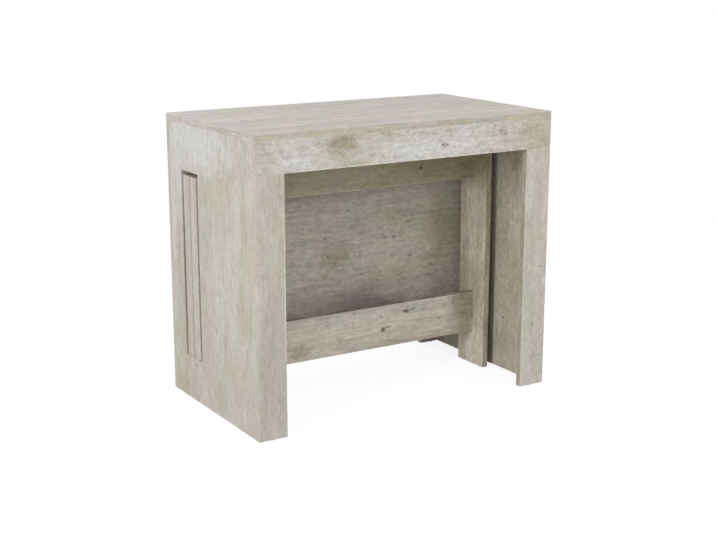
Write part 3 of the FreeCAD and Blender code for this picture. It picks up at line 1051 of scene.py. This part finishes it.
@dataclass
class Studio:
    """Pale floor, soft light and the camera."""

    floor_radius: float = 40.0
    floor_sides: int = 96
    floor_colour: Colour = linear(188, 187, 184)
    floor_seen: Colour = (*even(0.24), 1.0)
    floor_glow: float = 0.86
    floor_to_white: Step = Step(1.0, 3.0)
    sky_strength: float = 0.62
    lamps: tuple[Lamp, ...] = (
        Lamp("left_lamp", azimuth=-66, elevation=20, power=84, wide=0.6),
        Lamp("front_lamp", azimuth=15, elevation=18, power=22, wide=0.6, tall=1.6),
        Lamp("right_lamp", azimuth=55, elevation=30, power=52),
        Lamp("back_lamp", azimuth=180, elevation=18, power=46),
    )
    azimuth: float = -31.68
    elevation: float = 13.78
    distance: float = 3.615
    target: Triple = (-0.0055, 0.0, 0.3337)
    focal_pixels: float = 1311.0
    image_width: float = 716.0
    sensor_millimetres: float = 36.0

    def build(self) -> None:
        """Set up floor, sky, lamps, camera and colour handling."""
        self.build_floor()
        self.build_sky()
        for lamp in self.lamps:
            lamp.build()
        self.build_camera()
        bpy.context.scene.view_settings.view_transform = "Standard"

    @staticmethod
    def seen_directly(graph: Graph) -> Socket:
        """Tell the rays that look from those that light.

        Args:
            graph: Graph to add to.

        Returns:
            One for rays from the camera, a mirror or glass, nought for the light that falls on things.
        """
        path = graph.add("ShaderNodeLightPath").outputs
        mirrored = graph.math("MAXIMUM", path["Is Glossy Ray"], path["Is Transmission Ray"])
        return graph.math("MAXIMUM", path["Is Camera Ray"], mirrored)

    def build_floor(self) -> None:
        """Lay a round pale floor."""
        turns = [2 * math.pi * step / self.floor_sides for step in range(self.floor_sides)]
        rim = [(self.floor_radius * math.cos(a), self.floor_radius * math.sin(a), 0.0) for a in turns]
        mesh = bpy.data.meshes.new("floor")
        mesh.from_pydata(rim, [], [tuple(range(self.floor_sides))])
        mesh.materials.append(self.floor_material())
        floor = bpy.data.objects.new("floor", mesh)
        bpy.context.scene.collection.objects.link(floor)

    def floor_material(self) -> Material:
        """Make a floor that looks white, turns quite white further out, and takes the table's shadow.

        Returns:
            The material.
        """
        material = bpy.data.materials.new("floor")
        material.use_nodes = True
        graph = Graph(material.node_tree)
        plain = graph.out("ShaderNodeBsdfDiffuse", {"Color": self.floor_colour})
        shaded = graph.out("ShaderNodeBsdfDiffuse", {"Color": self.floor_seen})
        glow = graph.out("ShaderNodeEmission", {"Strength": self.floor_glow})
        near = graph.out("ShaderNodeAddShader", {0: shaded, 1: glow})
        far = graph.out("ShaderNodeEmission", {"Color": WHITE})
        out = graph.length(graph.add("ShaderNodeTexCoord").outputs["Object"])
        share = graph.step(out, self.floor_to_white)
        seen = graph.out("ShaderNodeMixShader", {0: share, 1: near, 2: far})
        chosen = graph.out("ShaderNodeMixShader", {0: self.seen_directly(graph), 1: plain, 2: seen})
        graph.add("ShaderNodeOutputMaterial", {"Surface": chosen})
        return material

    def build_sky(self) -> None:
        """Surround the scene with even white light, white where it is seen."""
        world = bpy.data.worlds.new("studio")
        bpy.context.scene.world = world
        world.use_nodes = True
        graph = Graph(world.node_tree)
        extra = graph.times(self.seen_directly(graph), 1.0 - self.sky_strength)
        feeds = {"Color": WHITE, "Strength": graph.plus(extra, self.sky_strength)}
        graph.add("ShaderNodeOutputWorld", {"Surface": graph.out("ShaderNodeBackground", feeds)})

    def build_camera(self) -> None:
        """Stand the camera at the photograph's angle."""
        data = bpy.data.cameras.new("camera")
        data.sensor_width = self.sensor_millimetres
        data.lens = self.focal_pixels / self.image_width * self.sensor_millimetres
        camera = bpy.data.objects.new("camera", data)
        bpy.context.scene.collection.objects.link(camera)
        back = bearing(self.azimuth, self.elevation)
        camera.location = Vector(self.target) + back * self.distance
        camera.rotation_euler = (-back).to_track_quat("-Z", "Y").to_euler()
        bpy.context.scene.camera = camera


# Faces that carry marks. A mark is a tone, a place along its face, a reach along it and a strength; a
# knot has no tone of its own. Later marks lie over earlier ones.
FRONT = Face.low("front_apron", Axis.Y)
APRON_END = Face.low("front_apron", Axis.X)
FRONT_OUTER = Face.low("front_left_side", Axis.X)
FRONT_INNER = Face.low("front_right_side", Axis.X)
REAR_OUTER = Face.low("rear_left_side", Axis.X)
REAR_INNER = Face.low("rear_right_side", Axis.X)
LEG = Face.low("centre_right_leg", Axis.X)
RAIL = Face.low("centre_upper_rail", Axis.Y)
LEAF = Face.low("leaf_1_board", Axis.Y)

APRON_MARKS = FRONT.stains_and_shades(
    (Tone.PALE, (-0.32, 0.695), (0.1, 0.035), 0.5),
    (Tone.MAUVE, (-0.44, 0.72), (0.05, 0.06), 0.45),
    (Tone.PALE, (0.05, 0.7), (0.24, 0.045), 0.75),
    (Tone.SMUDGE_AND_SHADE, (-0.21, 0.73), (0.075, 0.036), 0.55),
    (Tone.TAN, (-0.21, 0.733), (0.058, 0.032), 0.75),
    (Tone.OLIVE, (0.4, 0.72), (0.09, 0.07), 0.95),
    (Tone.WORN, (0.0, 0.672), (0.5, 0.004), 0.8),
) + APRON_END.stains_and_shades((Tone.ROSE, (-0.246, 0.71), (0.03, 0.1), 0.9)) + FRONT.knots(
    ((0.1, 0.704), (0.02, 0.01), 0.3),
    ((0.094, 0.706), (0.007, 0.005), 0.65),
    ((0.108, 0.704), (0.006, 0.004), 0.55),
    ((0.28, 0.729), (0.008, 0.003), 0.4),
    ((0.297, 0.718), (0.006, 0.004), 0.55),
    ((0.285, 0.724), (0.022, 0.012), 0.3),
)

LEFT_STILE_MARKS = FRONT.stains_and_shades(
    (Tone.OLIVE, (-0.424, 0.603), (0.014, 0.03), 0.6),
    (Tone.PALE, (-0.394, 0.477), (0.005, 0.04), 0.6),
    (Tone.SMUDGE_AND_SHADE, (-0.41, 0.2), (0.08, 0.3), 0.3),
    (Tone.WORN, (-0.371, 0.34), (0.004, 0.4), 0.8),
)

RIGHT_STILE_MARKS = FRONT.knots(
    ((0.381, 0.545), (0.005, 0.003), 0.55),
    ((0.4255, 0.343), (0.005, 0.003), 0.55),
    ((0.406, 0.18), (0.004, 0.014), 0.5),
    ((0.434, 0.19), (0.004, 0.003), 0.4),
) + FRONT.stains_and_shades((Tone.WORN, (0.371, 0.34), (0.004, 0.4), 0.45))

# This one runs over both left sides.
PALE_CORNER = (Tone.PALE, (0.07, 0.71), (0.25, 0.11), 1.0)

FRONT_LEFT_MARKS = FRONT_OUTER.stains_and_shades(
    PALE_CORNER,
    (Tone.OLIVE, (-0.19, 0.54), (0.03, 0.14), 0.8),
    (Tone.OLIVE, (-0.03, 0.06), (0.06, 0.06), 0.7),
    (Tone.OLIVE, (-0.08, 0.12), (0.14, 0.14), 0.35),
) + FRONT_OUTER.knots(
    ((-0.023, 0.233), (0.003, 0.012), 0.5),
    ((-0.021, 0.167), (0.003, 0.01), 0.4),
    ((-0.173, 0.163), (0.003, 0.012), 0.5),
)

FRONT_RIGHT_MARKS = FRONT_INNER.stains_and_shades(
    (Tone.SAND, (-0.12, 0.37), (0.34, 0.9), 0.6),
    (Tone.OLIVE, (-0.1, 0.24), (0.12, 0.24), 0.75),
    (Tone.MAUVE, (-0.07, 0.38), (0.05, 0.1), 0.45),
    (Tone.MAUVE, (-0.1, 0.09), (0.07, 0.06), 0.5),
    (Tone.SMUDGE_AND_SHADE, (-0.133, 0.608), (0.03, 0.06), 0.5),
    # Painted shade along the top, under the apron, in a tan tone.
    (Tone.TAN, (-0.1, 0.66), (0.12, 0.05), 0.7),
    # Painted shade: a dark band beside the seam, where the right centre leg shades the inner face.
    (Tone.UMBER, (-0.014, 0.34), (0.042, 0.9), 0.6),
) + FRONT_INNER.knots(
    ((-0.069, 0.553), (0.005, 0.008), 0.7),
    ((-0.094, 0.157), (0.005, 0.007), 0.7),
)

# Painted shade on the rear jamb of the left leaf slot, which lies in shade.
SLOT_JAMB_SHADE_CENTRE = (-0.441, 0.169, 0.375)
SLOT_JAMB_SHADE_REACH = (0.01, 0.004, 0.4)

REAR_LEFT_MARKS = REAR_OUTER.stains_and_shades(
    PALE_CORNER,
    (Tone.OLIVE, (0.2, 0.04), (0.05, 0.05), 0.7),
) + REAR_OUTER.knots(
    ((0.11, 0.104), (0.005, 0.007), 0.5),
    ((0.077, 0.432), (0.003, 0.008), 0.6),
) + (
    StainAndShade(Tone.UMBER, SLOT_JAMB_SHADE_CENTRE, SLOT_JAMB_SHADE_REACH, 0.85, ragged=Face.SHADE_TEAR, speckle=0.0),
)

REAR_RIGHT_MARKS = REAR_INNER.stains_and_shades((Tone.OLIVE, (0.16, 0.03), (0.12, 0.1), 0.8))

LEG_MARKS = LEG.stains_and_shades(
    (Tone.STRAW, (0.0, 0.34), (0.16, 0.9), 0.65),
    (Tone.TAN, (0.0, 0.22), (0.2, 0.16), 0.6),
# Painted shade at the leg's top, under the apron, in a tan tone.
) + LEG.stains_and_shades((Tone.TAN, (0.0, 0.66), (0.4, 0.17), 0.95), ragged=Face.SHADE_TEAR, speckle=0.0)

UPPER_RAIL_MARKS = RAIL.stains_and_shades(
    (Tone.TAN, (-0.12, 0.64), (0.1, 0.02), 0.7),
    # Partly the rail's own tan tone, partly painted shade over its right part.
    (Tone.TAN, (0.26, 0.62), (0.2, 0.09), 0.95),
) + RAIL.knots(
    ((0.196, 0.602), (0.008, 0.006), 0.95),
) + RAIL.stains_and_shades(
    (Tone.WORN, (0.0, 0.5595), (0.5, 0.003), 0.3),
)

LOWER_RAIL_MARKS = RAIL.knots(
    ((-0.022, 0.213), (0.006, 0.004), 0.55),
    ((0.065, 0.19), (0.006, 0.004), 0.55),
    ((0.15, 0.196), (0.018, 0.007), 0.85),
    ((0.172, 0.2), (0.012, 0.004), 0.6),
    ((0.072, 0.153), (0.01, 0.01), 0.85),
    ((0.088, 0.158), (0.014, 0.004), 0.6),
    ((-0.026, 0.183), (0.005, 0.004), 0.4),
    ((0.262, 0.16), (0.014, 0.005), 0.45),
    ((0.344, 0.214), (0.006, 0.004), 0.55),
) + RAIL.stains_and_shades(
    # The rail's olive right end, darkened as painted shadow of the right stile.
    (Tone.MOSS, (0.375, 0.16), (0.09, 0.14), 1.0),
    (Tone.CREAM, (-0.2, 0.17), (0.16, 0.06), 0.8),
    (Tone.TAN, (-0.2, 0.13), (0.05, 0.03), 0.6),
)

# Specks on the foremost leaf: place along it, height, and a factor on the reach and strength below.
SPECK_REACH = (0.006, 0.004)
SPECK_STRENGTH = 0.45
SPECKS = (
    (-0.13, 0.445, 1.1), (-0.075, 0.43, 0.9), (-0.06, 0.41, 1.3), (0.03, 0.385, 1.2), (0.055, 0.35, 1.0),
    (-0.05, 0.36, 1.2), (-0.025, 0.335, 1.0), (0.14, 0.393, 1.3), (0.17, 0.391, 1.4), (0.225, 0.33, 1.5),
    (0.115, 0.27, 1.3), (-0.03, 0.366, 0.7), (-0.02, 0.348, 0.8), (0.003, 0.374, 0.7), (-0.04, 0.392, 0.6),
    (0.237, 0.336, 0.8), (-0.11, 0.443, 0.6), (0.012, 0.356, 0.6), (0.09, 0.392, 0.6), (0.25, 0.322, 0.7),
)

LEAF_MARKS = LEAF.stains_and_shades(
    (Tone.MAUVE, (-0.06, 0.2), (0.34, 0.105), 0.85),
    (Tone.MAUVE, (-0.06, 0.53), (0.2, 0.06), 0.35),
    (Tone.OLIVE, (0.35, 0.4), (0.1, 0.1), 0.9),
    (Tone.CREAM, (0.17, 0.36), (0.19, 0.11), 0.6),
    (Tone.SMUDGE_AND_SHADE, (-0.02, 0.36), (0.08, 0.07), 0.55),
    (Tone.PLUM, (0.07, 0.21), (0.15, 0.05), 0.75),
    (Tone.PALE, (-0.015, 0.321), (0.014, 0.003), 0.8),
) + LEAF.knots(
    *(((x, z), tuple(size * side for side in SPECK_REACH), size * SPECK_STRENGTH) for x, z, size in SPECKS)
)

# Finishes that boards share, and the sub-assemblies.
TOP = BoardFinish(
    BoardLay.FLAT, seed=1, ground=Ground.ASHEN, wash=0.15, olive=0.3, contrast=1.1, streak=2.3, edge_band_and_shade=0.85
)
REAR_STILE = BoardFinish(BoardLay.STILE, seed=11, wash=0.6, olive=0.1, streak=0.5)
LEG_BOARD = BoardFinish(
    BoardLay.PANEL, seed=13, ground=Ground.BLEACHED, wash=0.2, olive=0.5, contrast=1.5, streak=2.0,
    edge_band_and_shade=0.9, edge_band_and_shade_tone=Tone.MOSS,
)
# The stored leaves' long edges get a dark smudge tone as painted shade, which darkens the head of the leaf
# slot.
LEAF_BOARD = BoardFinish(BoardLay.RAIL, seed=18, wash=0.3, edge_band_and_shade=0.7, edge_band_and_shade_tone=Tone.SMUDGE_AND_SHADE)

FRONT_HALF = HalfShell(
    "front",
    top=TOP,
    apron=BoardFinish(BoardLay.RAIL, seed=2, wash=0.5, contrast=1.9, streak=0.8, stains_and_shades=APRON_MARKS),
    sides={
        "left": BoardFinish(
            BoardLay.PANEL, seed=3, wash=0.45, olive=0.8, contrast=1.15, streak=0.75,
            stains_and_shades=FRONT_LEFT_MARKS,
        ),
        "right": BoardFinish(
            BoardLay.PANEL, seed=4, wash=0.3, contrast=2.1, streak=0.8, stains_and_shades=FRONT_RIGHT_MARKS
        ),
    },
    stiles={
        "left": BoardFinish(
            BoardLay.STILE, seed=5, wash=0.2, olive=0.4, contrast=1.2, streak=0.35,
            stains_and_shades=LEFT_STILE_MARKS,
        ),
        "right": BoardFinish(
            BoardLay.STILE, seed=6, wash=0.5, olive=0.15, contrast=1.3, streak=0.4,
            edge_band_and_shade=0.8, edge_band_and_shade_tone=Tone.MOSS, stains_and_shades=RIGHT_STILE_MARKS,
        ),
    },
)

REAR_HALF = HalfShell(
    "rear",
    top=replace(TOP, seed=7),
    apron=BoardFinish(BoardLay.RAIL, seed=8, olive=0.2),
    sides={
        "left": BoardFinish(BoardLay.PANEL, seed=9, contrast=1.1, streak=0.7, stains_and_shades=REAR_LEFT_MARKS),
        "right": BoardFinish(BoardLay.PANEL, seed=10, stains_and_shades=REAR_RIGHT_MARKS),
    },
    stiles={"left": REAR_STILE, "right": replace(REAR_STILE, seed=12)},
)

CENTRE_FRAME = CentreFrame(
    legs={
        "left": LEG_BOARD,
        "right": replace(LEG_BOARD, seed=14, contrast=2.0, streak=2.6, stains_and_shades=LEG_MARKS),
    },
    rails={
        # Dark mossy ground, with no wash: partly the rail's own olive tone, partly painted shade under the
        # apron.
        "upper": BoardFinish(
            BoardLay.RAIL, seed=15, ground=Ground.MOSSY, wash=0.0, olive=0.3, contrast=1.7, streak=1.5,
            stains_and_shades=UPPER_RAIL_MARKS,
        ),
        "lower": BoardFinish(
            BoardLay.RAIL, seed=16, ground=Ground.BLEACHED, wash=0.2, olive=0.2, contrast=1.3, streak=2.0,
            edge_band_and_shade=0.7, edge_band_and_shade_tone=Tone.UMBER, stains_and_shades=LOWER_RAIL_MARKS,
        ),
    },
)

FOREMOST_LEAF = replace(
    LEAF_BOARD, seed=17, ground=Ground.DOVE, wash=0.1, olive=0.3, contrast=2.0, streak=1.3,
    stains_and_shades=LEAF_MARKS,
)
STORED_LEAVES = StoredLeaves(
    (FOREMOST_LEAF, LEAF_BOARD, replace(LEAF_BOARD, seed=19), replace(LEAF_BOARD, seed=20))
)


def main() -> None:
    """Dress the table, part by part, and set up the studio."""
    logging.basicConfig(level=logging.INFO, format="%(message)s")
    for assembly in (FRONT_HALF, REAR_HALF, CENTRE_FRAME, STORED_LEAVES, SlideTrain()):
        assembly.dress()
    Studio().build()


if __name__ == "__main__":
    main()
